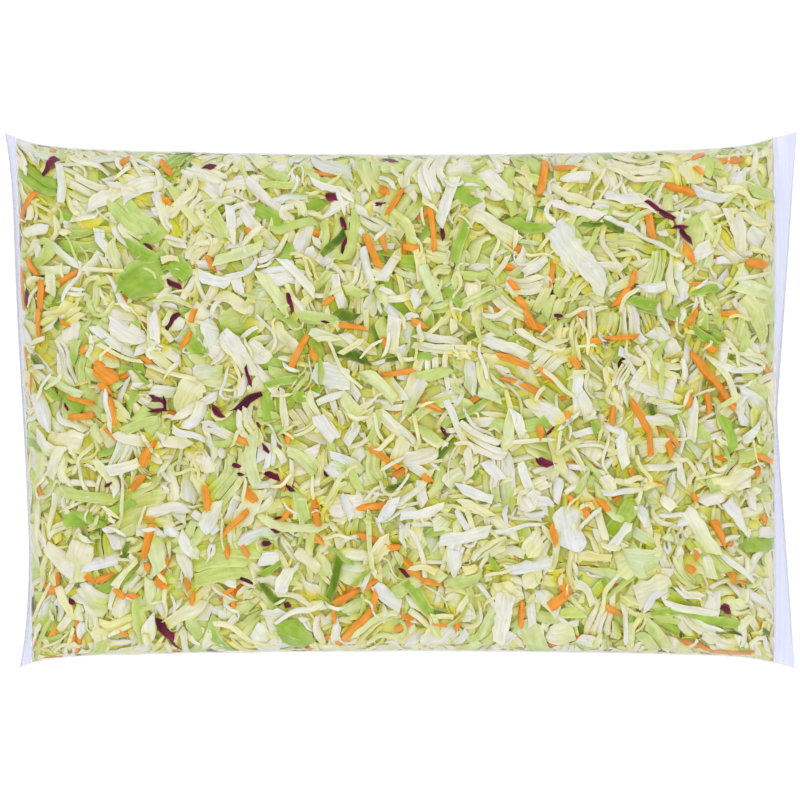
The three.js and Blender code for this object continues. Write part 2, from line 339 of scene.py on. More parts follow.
KINDS = (
    Kind(
        "white_shreds", share=0.19, length=(8, 30), width=(1.6, 4.2), thick=(0.7, 1.4),
        bend=0.9, cup=0.3, bundle=0.3,
        colours=((2, WHITE, WHITE), (3, WHITE, CREAM), (2, CREAM, CREAM), (2, WHITE, PALE)),
    ),
    Kind(
        "pale_shreds", share=0.18, length=(8, 30), width=(1.6, 4.4), thick=(0.7, 1.4),
        bend=1.2, twist=0.5, bundle=0.35,
        colours=(
            (3, CREAM, PALE), (2, PALE, YELLOW), (2, YELLOW, CREAM), (2, PALE, LIGHT_GREEN),
            (2, WHITE, PALE),
        ),
    ),
    Kind(
        "curled_shreds", share=0.16, length=(12, 36), width=(1.0, 2.4), thick=(0.7, 1.2),
        bend=3.0, twist=0.6, buckle=1.0,
        colours=((3, CREAM, PALE), (2, YELLOW, CREAM), (3, WHITE, CREAM), (1, PALE, LIGHT_GREEN)),
    ),
    Kind(
        "scraps", share=0.18, length=(4, 10), width=(1.8, 5.0), thick=(0.6, 1.1),
        bend=0.8, tips=(0.3, 1.0), taper=(0.05, 0.4), ragged=0.16, twist=0.5, step=2.2,
        colours=((4, WHITE, CREAM), (3, CREAM, PALE), (2, PALE, LIGHT_GREEN), (1, GREEN, LIGHT_GREEN)),
    ),
    Kind(
        "broad_shreds", share=0.13, length=(10, 28), width=(4.4, 9.5), thick=(0.6, 1.1),
        bend=0.7, tips=(0.6, 1.05), taper=(0.02, 0.2), cup=0.26, ruffle=0.7, ragged=0.14, points=5,
        colours=(
            (4, WHITE, CREAM), (3, CREAM, PALE), (2, CREAM, YELLOW), (3, WHITE, LIGHT_GREEN),
            (2, WHITE, PALE),
        ),
    ),
    Kind(
        "white_ribs", share=0.06, length=(8, 22), width=(3.0, 7.0), thick=(1.4, 2.4),
        bend=0.3, drape=0.2, cup=0.1,
        colours=((4, WHITE, WHITE), (2, WHITE, CREAM)),
    ),
    Kind(
        "green_shreds", share=0.18, length=(10, 36), width=(2.4, 8.0), thick=(0.6, 1.1),
        bend=0.9, cup=0.26, ruffle=0.4, twist=0.4, bundle=0.2, step=4.2, points=5,
        colours=(
            (4, LIGHT_GREEN, PALE), (3, LIGHT_GREEN, LIGHT_GREEN), (2, GREEN, LIGHT_GREEN),
            (2, LIGHT_GREEN, WHITE), (1, GREEN, GREEN), (2, PALE_GREEN, LIGHT_GREEN),
            (0.15, MID_GREEN, DEEP_GREEN),
        ),
    ),
    Kind(
        "leaf_flakes", share=0.03, length=(12, 26), width=(10, 17), thick=(0.5, 0.8),
        bend=0.4, tips=(0.3, 0.9), taper=(0.05, 0.35), cup=0.14, ruffle=0.9, ragged=0.14,
        twist=0.15, step=2.4, points=7,
        colours=((3, WHITE, CREAM), (3, CREAM, PALE), (2, PALE, LIGHT_GREEN), (1, LIGHT_GREEN, GREEN)),
    ),
    Kind(
        "carrot_shreds", share=0.055, length=(8, 32), width=(2.2, 3.4), thick=(1.3, 2.1),
        slot="carrot", bend=0.35, drape=0.2, tips=(0.55, 1.0), taper=(0.02, 0.14), cup=0.16,
        ragged=0.06, step=3.0,
        colours=((3, ORANGE, ORANGE), (1, DEEP_ORANGE, ORANGE)),
    ),
    Kind(
        "red_cabbage_shreds", share=0.006, length=(8, 20), width=(3.0, 7.0), thick=(0.7, 1.2),
        slot="red_cabbage", bend=0.6, tips=(0.2, 0.9), taper=(0.05, 0.4), ruffle=0.3, ragged=0.2,
        step=2.4,
        colours=((3, PURPLE, PURPLE), (2, PURPLE, PLUM)),
    ),
)
NAMED = {kind.name: kind for kind in KINDS}
DEEP_COUNT = 3600
SURFACE_COUNT = 3200
made = {kind.name: [] for kind in KINDS}

# Pieces that stand out in the photograph, as (x0, y0, x1, y1, width) in its pixels
CARROTS_SEEN = (
    (20, 223, 38, 193, 7), (120, 166, 131, 160, 7), (161, 161, 172, 175, 7), (167, 199, 173, 209, 7),
    (29, 260, 38, 275, 7), (23, 268, 26, 310, 6), (45, 281, 43, 312, 7), (248, 229, 253, 238, 6),
    (208, 255, 215, 271, 6), (365, 235, 379, 269, 8), (381, 232, 385, 252, 6), (379, 189, 389, 193, 6),
    (388, 213, 402, 190, 7), (324, 306, 334, 298, 6), (539, 194, 545, 161, 8), (553, 169, 577, 170, 5),
    (403, 249, 418, 250, 7), (429, 204, 434, 252, 6), (420, 216, 428, 210, 7), (500, 266, 513, 268, 6),
    (507, 281, 516, 290, 7), (515, 298, 525, 310, 7), (691, 158, 704, 153, 7), (691, 169, 698, 176, 6),
    (679, 248, 692, 262, 8), (746, 262, 765, 267, 8), (633, 271, 627, 288, 6), (627, 288, 612, 306, 7),
    (688, 285, 698, 286, 5), (42, 309, 38, 343, 7), (62, 320, 69, 326, 4), (25, 347, 27, 360, 4),
    (33, 372, 34, 394, 3), (84, 351, 95, 347, 7), (109, 353, 119, 357, 5), (98, 365, 116, 382, 15),
    (103, 384, 112, 390, 9), (70, 417, 94, 415, 7), (113, 400, 119, 425, 7), (144, 356, 154, 363, 6),
    (183, 348, 192, 332, 6), (193, 323, 197, 310, 6), (143, 458, 156, 441, 8), (155, 441, 147, 465, 7),
    (133, 489, 144, 474, 7), (25, 447, 29, 463, 4), (40, 484, 42, 494, 4), (290, 368, 308, 335, 7),
    (328, 346, 346, 348, 7), (339, 326, 366, 328, 6), (311, 350, 318, 361, 8), (381, 337, 387, 344, 6),
    (236, 436, 249, 442, 7), (287, 442, 290, 433, 7), (370, 446, 390, 462, 7), (207, 488, 212, 506, 8),
    (245, 487, 257, 500, 8), (282, 480, 286, 488, 7), (315, 498, 318, 510, 7), (390, 460, 398, 467, 6),
    (411, 320, 425, 328, 8), (496, 355, 528, 365, 8), (536, 370, 558, 382, 8), (500, 377, 515, 381, 5),
    (522, 383, 540, 394, 8), (524, 323, 545, 330, 8), (522, 311, 533, 330, 7), (569, 357, 576, 368, 8),
    (422, 402, 441, 410, 6), (585, 342, 600, 341, 7), (563, 410, 565, 421, 7), (538, 425, 540, 437, 7),
    (422, 474, 430, 480, 7), (567, 494, 571, 504, 6), (582, 505, 590, 500, 6), (576, 311, 583, 317, 6),
    (600, 340, 634, 337, 6), (682, 328, 692, 311, 7), (689, 354, 732, 408, 7), (628, 401, 645, 432, 7),
    (644, 430, 648, 455, 6), (684, 394, 685, 407, 7), (703, 393, 707, 413, 6), (700, 345, 712, 352, 7),
    (721, 314, 735, 312, 6), (665, 430, 677, 446, 6), (664, 442, 668, 455, 8), (714, 457, 723, 458, 5),
    (752, 454, 770, 461, 6), (754, 462, 756, 476, 9), (625, 467, 633, 480, 5), (648, 479, 662, 483, 3),
    (688, 491, 691, 500, 6), (611, 405, 610, 424, 5), (144, 515, 157, 517, 4), (154, 522, 147, 555, 8),
    (147, 563, 151, 570, 7), (87, 574, 98, 580, 5), (98, 580, 111, 575, 7), (157, 578, 167, 587, 6),
    (187, 577, 189, 590, 5), (194, 592, 192, 602, 6), (115, 588, 125, 598, 4), (128, 593, 136, 598, 6),
    (121, 627, 129, 633, 5), (52, 634, 57, 628, 7), (70, 640, 75, 637, 8), (34, 637, 42, 644, 5),
    (44, 658, 61, 657, 5), (208, 484, 210, 507, 8), (248, 510, 222, 535, 7), (227, 545, 229, 556, 6),
    (243, 544, 250, 555, 5), (292, 506, 283, 519, 6), (315, 497, 318, 524, 8), (316, 535, 322, 542, 7),
    (223, 593, 234, 586, 5), (334, 600, 357, 588, 7), (334, 603, 334, 622, 5), (376, 588, 372, 606, 7),
    (372, 606, 338, 643, 8), (388, 545, 400, 544, 6), (403, 562, 420, 576, 9), (420, 579, 441, 584, 8),
    (404, 618, 415, 615, 8), (433, 621, 445, 622, 4), (456, 613, 457, 630, 8), (522, 601, 520, 627, 6),
    (549, 522, 554, 542, 7), (581, 503, 589, 521, 7), (557, 575, 563, 590, 9), (568, 586, 548, 606, 9),
    (596, 497, 605, 509, 8), (711, 520, 721, 541, 9), (692, 548, 693, 557, 5), (684, 566, 692, 570, 7),
    (758, 514, 763, 521, 7), (728, 571, 733, 580, 7), (735, 579, 744, 583, 4), (603, 603, 618, 614, 7),
    (677, 639, 694, 643, 5), (694, 642, 711, 652, 7), (711, 652, 752, 650, 6), (777, 627, 777, 638, 4),
)
REDS_SEEN = (
    (41, 173, 57, 157, 14), (30, 290, 28, 308, 9), (147, 244, 153, 249, 6), (166, 280, 182, 287, 9),
    (204, 168, 214, 165, 8), (325, 194, 338, 203, 11), (341, 218, 345, 230, 8), (341, 254, 347, 240, 6),
    (383, 157, 396, 161, 8), (372, 202, 385, 203, 6), (288, 293, 292, 310, 7), (441, 227, 443, 240, 7),
    (644, 201, 655, 213, 7), (655, 213, 673, 219, 8), (670, 228, 684, 229, 6), (677, 230, 688, 243, 9),
    (152, 394, 166, 402, 6), (151, 411, 166, 409, 6), (166, 396, 166, 411, 4), (106, 485, 113, 483, 6),
    (68, 403, 71, 409, 5), (213, 406, 225, 417, 9), (246, 366, 251, 386, 5), (259, 421, 262, 426, 5),
    (263, 444, 270, 452, 8), (233, 463, 242, 466, 8), (239, 472, 245, 474, 6), (265, 472, 280, 476, 9),
    (287, 483, 293, 490, 7), (322, 322, 330, 324, 5), (323, 472, 328, 476, 5), (440, 426, 446, 436, 6),
    (535, 460, 551, 464, 13), (544, 434, 552, 426, 4), (553, 315, 562, 315, 6), (32, 597, 31, 615, 6),
    (159, 620, 174, 636, 14), (168, 638, 180, 651, 3), (70, 598, 74, 604, 5), (275, 517, 283, 515, 5),
    (273, 528, 281, 530, 7), (261, 544, 269, 545, 7), (240, 578, 252, 585, 5), (284, 604, 290, 606, 6),
    (207, 651, 223, 652, 6), (400, 569, 408, 575, 5), (718, 604, 730, 611, 12),
)
WHITES_SEEN = (
    (87, 207, 127, 187, 13), (123, 197, 166, 177, 14), (157, 189, 170, 229, 9), (110, 276, 129, 312, 6),
    (247, 181, 294, 220, 11), (231, 207, 233, 243, 10), (242, 209, 260, 232, 12), (324, 212, 344, 203, 13),
    (282, 259, 315, 294, 10), (312, 181, 353, 199, 9), (200, 276, 231, 285, 12), (362, 248, 372, 289, 10),
    (379, 281, 401, 250, 10), (482, 171, 512, 197, 18), (438, 225, 457, 174, 12), (549, 204, 600, 218, 10),
    (552, 225, 590, 270, 30), (576, 254, 604, 290, 24), (600, 218, 673, 250, 8), (600, 195, 638, 199, 14),
    (693, 188, 730, 200, 10), (725, 210, 740, 250, 18), (690, 255, 712, 245, 16), (698, 205, 718, 218, 14),
    (640, 289, 665, 285, 10), (94, 326, 123, 348, 9), (110, 321, 145, 342, 22), (152, 345, 172, 372, 14),
    (154, 315, 160, 345, 10), (108, 470, 142, 462, 12), (116, 432, 145, 443, 10), (110, 390, 114, 430, 5),
    (160, 437, 190, 445, 12), (207, 320, 215, 345, 14), (225, 330, 252, 375, 18), (245, 345, 270, 360, 22),
    (313, 370, 350, 380, 26), (342, 334, 376, 352, 11), (283, 388, 287, 430, 6), (318, 415, 333, 440, 14),
    (412, 344, 468, 355, 10), (415, 334, 462, 342, 9), (478, 337, 525, 355, 13), (444, 400, 466, 445, 8),
    (466, 445, 468, 478, 9), (402, 460, 438, 452, 14), (512, 410, 522, 436, 12), (575, 370, 577, 415, 13),
    (577, 395, 590, 420, 14), (484, 460, 500, 478, 13), (520, 495, 528, 508, 14), (648, 330, 676, 352, 14),
    (690, 400, 692, 440, 8), (676, 452, 682, 485, 9), (712, 365, 760, 372, 8), (752, 425, 756, 428, 40),
    (618, 432, 622, 465, 10), (604, 424, 626, 434, 10), (600, 492, 640, 488, 6), (84, 566, 117, 560, 12),
    (112, 536, 117, 550, 13), (180, 534, 199, 555, 10), (148, 618, 151, 641, 12), (136, 646, 158, 645, 12),
    (279, 590, 290, 568, 15), (258, 560, 279, 557, 14), (341, 495, 352, 518, 11), (382, 520, 394, 498, 12),
    (374, 583, 400, 607, 13), (275, 621, 323, 600, 5), (400, 516, 443, 508, 11), (439, 540, 489, 531, 13),
    (522, 510, 537, 490, 16), (505, 568, 548, 560, 11), (452, 548, 456, 575, 15), (505, 590, 497, 640, 19),
    (529, 595, 532, 627, 10), (412, 528, 426, 576, 6), (577, 636, 600, 642, 14), (606, 550, 625, 520, 10),
    (636, 505, 646, 525, 12), (722, 500, 750, 535, 13), (718, 552, 756, 584, 7), (640, 606, 664, 586, 9),
    (662, 603, 714, 611, 7), (762, 635, 770, 656, 9), (206, 530, 218, 500, 16),
)
PALES_SEEN = (
    (171, 220, 199, 181, 9), (82, 268, 128, 273, 5), (473, 215, 517, 241, 13), (548, 184, 589, 207, 9),
    (724, 185, 752, 205, 6), (668, 255, 672, 295, 8), (732, 280, 768, 273, 5), (95, 343, 145, 363, 5),
    (145, 363, 198, 380, 6), (127, 370, 140, 388, 10), (150, 350, 178, 372, 8), (310, 330, 360, 350, 12),
    (325, 340, 360, 390, 4), (282, 390, 284, 425, 4), (372, 412, 385, 445, 4), (418, 344, 475, 350, 6),
    (515, 330, 556, 352, 7), (580, 318, 586, 355, 4), (540, 370, 572, 396, 5), (510, 440, 560, 440, 5),
    (420, 432, 440, 445, 10), (565, 440, 585, 470, 5), (635, 345, 650, 378, 4), (705, 355, 735, 398, 7),
    (716, 348, 765, 362, 4), (610, 480, 660, 485, 7), (35, 502, 40, 556, 7), (52, 493, 52, 536, 5),
    (58, 586, 76, 618, 7), (113, 585, 137, 560, 6), (126, 480, 121, 530, 4), (213, 623, 276, 645, 5),
    (308, 646, 358, 647, 8), (295, 552, 320, 566, 12), (337, 534, 341, 550, 10), (433, 527, 445, 520, 14),
    (524, 585, 540, 570, 18), (460, 498, 490, 515, 9), (540, 535, 524, 552, 18), (408, 610, 440, 629, 5),
    (685, 510, 712, 552, 14), (703, 555, 710, 578, 12), (701, 634, 714, 641, 12),
)
PALE_GREENS_SEEN = (
    (262, 273, 287, 312, 13), (422, 266, 438, 301, 12), (700, 215, 715, 240, 12), (735, 285, 770, 295, 14),
    (52, 379, 83, 395, 11), (252, 430, 255, 485, 12), (342, 395, 360, 420, 14), (365, 370, 395, 400, 13),
    (478, 390, 500, 398, 12), (510, 410, 506, 440, 11), (151, 578, 152, 601, 12), (152, 535, 162, 570, 14),
    (256, 520, 327, 530, 8), (368, 510, 371, 570, 6), (626, 560, 657, 560, 30), (634, 532, 656, 545, 12),
    (215, 262, 262, 244, 13), (351, 631, 397, 610, 8), (155, 312, 157, 350, 11), (738, 549, 757, 571, 4),
    (662, 535, 672, 538, 8),
)
LIGHT_GREENS_SEEN = (
    (209, 202, 226, 238, 13), (271, 231, 315, 220, 13), (255, 186, 294, 183, 9), (461, 275, 487, 275, 9),
    (700, 160, 712, 172, 14), (745, 190, 775, 198, 14), (60, 490, 118, 500, 12), (125, 430, 160, 418, 10),
    (258, 412, 280, 415, 9), (380, 410, 370, 440, 9), (350, 465, 360, 490, 10), (418, 378, 450, 368, 12),
    (480, 320, 508, 335, 10), (410, 425, 440, 440, 9), (740, 312, 735, 335, 9), (705, 475, 712, 490, 13),
    (33, 661, 51, 615, 6), (300, 492, 306, 520, 13), (558, 611, 584, 614, 10), (655, 350, 662, 395, 5),
    (720, 455, 732, 460, 5),
)
GREENS_SEEN = (
    (125, 292, 163, 268, 34), (128, 246, 160, 262, 15), (170, 258, 190, 278, 20), (256, 207, 283, 225, 13),
    (454, 185, 475, 205, 17), (507, 221, 549, 232, 11), (453, 262, 466, 217, 11), (445, 286, 464, 312, 9),
    (624, 300, 655, 305, 12), (690, 292, 715, 288, 9), (42, 382, 60, 400, 10), (110, 512, 135, 500, 9),
    (265, 385, 298, 378, 9), (590, 420, 600, 440, 9), (690, 330, 715, 345, 11), (720, 415, 730, 450, 10),
    (64, 518, 107, 522, 15), (83, 512, 106, 524, 11), (283, 620, 310, 644, 19), (405, 580, 442, 620, 11),
    (650, 610, 735, 620, 10), (672, 310, 680, 318, 12), (415, 355, 432, 358, 8), (488, 557, 498, 571, 7),
    (352, 583, 371, 569, 4), (262, 573, 281, 562, 7),
)
DARK_GREENS_SEEN = (
    (322, 255, 345, 232, 8), (117, 169, 126, 176, 8), (535, 207, 548, 215, 7), (581, 222, 600, 226, 5),
    (600, 224, 622, 231, 6), (34, 355, 38, 366, 7), (57, 328, 63, 320, 6), (337, 312, 358, 318, 12),
    (335, 350, 368, 360, 12), (372, 325, 378, 345, 7), (385, 360, 400, 358, 5), (467, 337, 478, 332, 8),
    (386, 490, 400, 486, 6), (399, 485, 409, 480, 8), (130, 540, 122, 561, 7), (84, 530, 87, 539, 9),
    (341, 553, 329, 597, 10), (262, 584, 282, 604, 8), (433, 608, 445, 615, 9), (761, 628, 769, 634, 6),
    (713, 630, 738, 631, 4),
)
SEEN = (
    ("carrot_shreds", ORANGE, ORANGE, CARROTS_SEEN),
    ("red_cabbage_shreds", PURPLE, PLUM, REDS_SEEN),
    ("broad_shreds", WHITE, CREAM, WHITES_SEEN),
    ("broad_shreds", CREAM, PALE, PALES_SEEN),
    ("green_shreds", PALE_GREEN, PALE_GREEN, PALE_GREENS_SEEN),
    ("green_shreds", LIGHT_GREEN, LIGHT_GREEN, LIGHT_GREENS_SEEN),
    ("green_shreds", GREEN, GREEN, GREENS_SEEN),
    ("green_shreds", MID_GREEN, DEEP_GREEN, DARK_GREENS_SEEN),
)


def centre_line(kind, middle, heading, length, sway=1.0):
    """Points along a shred on the film, a heading at each, and the share of its length."""
    count = max(3, int(round(length / kind.step)))
    share = np.linspace(0, 1, count + 1)
    turn = (rng.random() - 0.5) * 2 * kind.bend * sway
    wave = (rng.random() - 0.5) * kind.bend * sway
    phase = rng.random() * 2 * np.pi
    headings = heading + turn * (share - 0.5) + wave * np.sin(2 * np.pi * share + phase)
    steps = length / count * np.stack([np.cos(headings), np.sin(headings)], axis=1)
    points = np.vstack([[0, 0], np.cumsum((steps[1:] + steps[:-1]) / 2, axis=0)])
    return inside(middle + points - points.mean(axis=0)), headings, share


def inside(points):
    """The same points, moved along the bag as far as the seals ask."""
    too_low = max(0, END_MARGIN - points[:, 0].min())
    too_high = max(0, points[:, 0].max() - (RUN - END_MARGIN))
    return points + [too_low - too_high, 0]


def free_place(kind, length):
    """The lowest of a few random places for a shred."""
    places = []
    while len(places) < 3:
        middle = np.array([rng.random() * RUN, rng.random() * GIRTH])
        if middle[1] > GIRTH / 2 and rng.random() > UNDER_SHARE:
            continue
        line = centre_line(kind, middle, rng.random() * 2 * np.pi, length)
        places.append((height[cells(*line[0].T)].mean(), len(places), line))
    return min(places)[2]


def draped(line, slope, spacing):
    """Lowest line over the given heights that is nowhere steeper than slope."""
    over = line.copy()
    for i in range(1, len(over)):
        over[i] = max(over[i], over[i - 1] - slope * spacing)
    for i in range(len(over) - 2, -1, -1):
        over[i] = max(over[i], over[i + 1] - slope * spacing)
    inner = 0.25 * over[:-2] + 0.5 * over[1:-1] + 0.25 * over[2:]
    return np.concatenate([over[:1], np.maximum(inner, over[1:-1] - 0.4), over[-1:]])


def lay(kind, line, length, width, colours=None):
    """Lays one shred on the pile and keeps what its mesh needs."""
    points, headings, share = line
    thick = between(kind.thick)
    side = np.stack([-np.sin(headings), np.cos(headings)], axis=1)
    sides = width / 2 * outline(kind, share)
    half = sides.mean(axis=0)
    spacing = length / (len(share) - 1)

    reach = (GROUND_REACH * half)[:, None] * side
    left = height[cells(*(points - reach).T)]
    right = height[cells(*(points + reach).T)]
    middle = height[cells(*points.T)]
    ground = draped(np.maximum(middle, (left + right) / 2), kind.drape, spacing)
    roll = np.clip((right - left) / (2 * GROUND_REACH * half), -MOST_ROLL, MOST_ROLL)
    roll = np.convolve(np.pad(roll, 1, mode="edge"), [0.25, 0.5, 0.25], mode="valid")
    roll = roll + kind.twist * (between((-1, 1)) + (2 * share - 1) * between((-1, 1)))
    arc = kind.buckle * rng.random() * np.sin(np.pi * share * between((0.8, 2.2))) ** 2
    centre = ground + thick / 2 + arc + 0.2 * np.abs(roll) * half

    fine = np.linspace(0, len(share) - 1, int(length / (0.8 * CELL)) + 2)
    rings = np.arange(len(share))
    across = np.linspace(-1, 1, max(3, int(width / (0.8 * CELL)) + 1))
    along_fine, around_fine, left_fine, right_fine, roll_fine, centre_fine, side_a, side_b = (
        np.interp(fine, rings, values)[:, None]
        for values in (points[:, 0], points[:, 1], *sides, roll, centre, side[:, 0], side[:, 1])
    )
    offset = np.where(across < 0, left_fine, right_fine) * across
    top = centre_fine + roll_fine * offset + thick / 2
    np.maximum.at(height, cells(along_fine + offset * side_a, around_fine + offset * side_b), top)
    colours = colours or pick_colours(kind)
    made[kind.name].append((kind, points, side, share, sides, roll, centre, thick, colours))


def outline(kind, share):
    """Half width on both sides along a shred, as cut with a few straight strokes."""
    sides = []
    for _ in range(2):
        first, last = between(kind.taper), between(kind.taper)
        widths = [between(kind.tips), 1, between((0.75, 1.1)), between(kind.tips)]
        uneven = 1 + kind.ragged * (2 * rng.random(len(share)) - 1)
        sides.append(np.interp(share, [0, first, 1 - last, 1], widths) * uneven)
    return np.array(sides)


def pick_colours(kind):
    shares = np.array([c[0] for c in kind.colours], float)
    _, root, tip = kind.colours[rng.choice(len(shares), p=shares / shares.sum())]
    return vary(root, tip)


def vary(root, tip):
    """The same two colours, a little lighter or darker and warmer or cooler."""
    light, warm = between((0.92, 1.01)), between((-0.04, 0.03))
    shift = np.array([1 + warm, 1, 1 - 2 * warm]) * light
    return np.clip(root * shift, 0, 0.92), np.clip(tip * shift, 0, 0.92)


def lay_some(kind):
    """Lays a shred at a free place, or a few side by side, as they were cut from one leaf."""
    length, width = between(kind.length), between(kind.width)
    points, headings, share = free_place(kind, length)
    count = int(rng.integers(2, 5)) if rng.random() < kind.bundle else 1
    side = np.stack([-np.sin(headings), np.cos(headings)], axis=1)
    colours = pick_colours(kind)
    for i in range(count):
        fan = 1 + between((-0.3, 0.3)) * (2 * share - 1)[:, None]
        shift = (i - (count - 1) / 2) * width * between((0.7, 1.05)) * fan
        slide = between((-0.12, 0.12)) * length * (count > 1)
        forward = np.array([math.cos(headings.mean()), math.sin(headings.mean())])
        place = inside(points + shift * side + slide * forward)
        lay(kind, (place, headings, share), length, width, colours)
    return count


def seen_line(kind, ends):
    """The centre line of a shred between two pixels of the photograph."""
    x0, y0, x1, y1 = ends
    a, b = (
        on_top((x - CENTRE_PIXEL[0]) * PIXEL, (CENTRE_PIXEL[1] - y) * PIXEL)
        for x, y in ((x0, y0), (x1, y1))
    )
    length = float(np.hypot(*(b - a)))
    heading = math.atan2(b[1] - a[1], b[0] - a[0])
    return centre_line(kind, (a + b) / 2, heading, length, SEEN_SWAY), length


def seen_kind(name, width):
    """The kind that a seen piece is made as, by its width in pixels."""
    if NAMED[name].slot != "cabbage":
        return NAMED[name]
    if width >= WIDE_SEEN:
        return NAMED["leaf_flakes"]
    if width <= NARROW_SEEN and name == "broad_shreds":
        return NAMED["pale_shreds"]
    return NAMED[name]


def lay_across(line):
    """Lays a thin shred over a seen one, near one of its ends."""
    points, headings, _ = line
    kind = NAMED[CROSSING_KINDS[rng.integers(len(CROSSING_KINDS))]]
    length, width = between(CROSSING_LENGTH), between(CROSSING_WIDTH)
    end = -int(rng.random() < 0.5)
    middle = mix(points[end], points.mean(axis=0), between((0, 0.5)))
    heading = headings[end] + math.pi / 2 + between((-0.9, 0.9))
    lay(kind, centre_line(kind, middle, heading, length), length, width)


def lay_many(count, shares):
    laid = 0
    while laid < count:
        laid += lay_some(KINDS[rng.choice(len(KINDS), p=shares / shares.sum())])


def fill_bag():
    """Lays every shred: the deep ones, then those of the surface, and last the seen ones."""
    shares = np.array([kind.share for kind in KINDS])
    lay_many(DEEP_COUNT, shares)
    shares[-2:] *= UNSEEN_SHARE
    lay_many(SURFACE_COUNT, shares)
    seen = [
        (seen_kind(name, place[4]), root, tip, place)
        for name, root, tip, places in SEEN
        for place in places
    ]
    rng.shuffle(seen)
    crossed = []
    for kind, root, tip, place in sorted(seen, key=lambda item: -item[3][4] // WIDTH_BAND):
        line, length = seen_line(kind, place[:4])
        shown = RED_SHOWN if kind.slot == "red_cabbage" else 1
        lay(kind, line, length, (place[4] - PIXEL_BLUR) * PIXEL * shown, vary(root, tip))
        if kind.slot != "red_cabbage" and rng.random() < CROSSED_SHARE:
            crossed.append(line)
    for line in crossed:
        lay_across(line)


# Meshes
ATTRIBUTES = {1: ("FLOAT", "value"), 3: ("FLOAT_VECTOR", "vector"), 4: ("FLOAT_COLOR", "color")}


def mesh_object(name, vertices, faces, attributes=None, smooth_angle=None):
    """A mesh object from points in millimetres, with point attributes."""
    mesh = bpy.data.meshes.new(name)
    mesh.from_pydata(vertices * MM, [], faces)
    for key, values in (attributes or {}).items():
        sort, field = ATTRIBUTES[values.shape[1]]
        layer = mesh.attributes.new(key, sort, "POINT")
        layer.data.foreach_set(field, values.astype(np.float32).ravel())
    mesh.polygons.foreach_set("use_smooth", [True] * len(mesh.polygons))
    if smooth_angle is not None:
        mesh.set_sharp_from_angle(angle=smooth_angle)
    mesh.update()
    thing = bpy.data.objects.new(name, mesh)
    bpy.context.scene.collection.objects.link(thing)
    return thing


def ring_faces(rings, count):
    """Quads between rings of points, with the first and last ring closed across."""
    k, j = np.meshgrid(np.arange(rings - 1), np.arange(count), indexing="ij")
    a = k * count + j
    b = k * count + (j + 1) % count
    sides = np.stack([a, a + count, b + count, b], axis=-1).reshape(-1, 4)
    j = np.arange(count // 2 - 1)
    first = np.stack([j, j + 1, count - 2 - j, count - 1 - j], axis=-1)
    last = (first + (rings - 1) * count)[:, ::-1]
    return np.concatenate([sides, first, last])


def shred_mesh(shred, seed):
    """Grid coordinates, heights, faces and attributes of one shred."""
    kind, points, side, share, sides, roll, centre, thick, (root, tip) = shred
    rings = len(share)
    across = power(np.linspace(-1, 1, kind.points), EDGE_CROWD)
    length = np.hypot(*np.diff(points, axis=0).T).sum()
    waves = length / between((7, 12))
    phase = rng.random(2) * 2 * np.pi

    half = sides.mean(axis=0)
    offset = np.where(across < 0, sides[0][:, None], sides[1][:, None]) * across
    cut = between((-1.1, 1.1)) * (1 - share) ** 4 + between((-1.1, 1.1)) * share**4
    slant = min(half.max(), LONGEST_CUT) * cut[:, None] * across
    forward = np.stack([side[:, 1], -side[:, 0]], axis=1)
    at = points[:, None, :] + offset[..., None] * side[:, None, :] + slant[..., None] * forward[:, None, :]

    ripple = np.where(across < 0, np.sin(2 * np.pi * waves * share[:, None] + phase[0]), 0)
    ripple = ripple + np.where(across > 0, np.sin(2 * np.pi * waves * share[:, None] + phase[1]), 0)
    lift = centre[:, None] + roll[:, None] * offset
    lift = lift + kind.cup * between((-1, 1)) * half[:, None] * (1 - 2 * across**2)
    lift = lift + kind.ruffle * between((0.3, 1)) * ripple * np.abs(across) ** 1.5
    thin = thick * (1 - 0.3 * np.abs(2 * share - 1) ** 3)[:, None] * (1 - 0.2 * across**2)
    along = np.concatenate([at[..., 0], at[:, ::-1, 0]], axis=1)
    around = np.concatenate([at[..., 1], at[:, ::-1, 1]], axis=1)
    heights = np.concatenate([lift + thin / 2, (lift - thin / 2)[:, ::-1]], axis=1)

    count = 2 * kind.points
    faces = np.roll(ring_faces(rings, count)[:, ::-1], 1, axis=1)

    both = np.concatenate([across, across[::-1]])[None, :, None]
    blend = share[:, None, None] * between((0.4, 1.4)) + both * between((-0.4, 0.4)) + between((-0.2, 0.2))
    tint = mix(root, tip, np.clip(blend, 0, 1))
    tint = mix(tint, RIMS[kind.slot], RIM_SHARE * between((0.2, 1)) * both**6)
    grain = np.stack(
        [
            np.repeat(share[:, None] * length, count, axis=1),
            np.concatenate([offset, offset[:, ::-1]], axis=1),
            np.full((rings, count), float(seed)),
        ],
        axis=-1,
    )
    return along.ravel(), around.ravel(), heights.ravel(), faces, tint.reshape(-1, 3), grain.reshape(-1, 3)


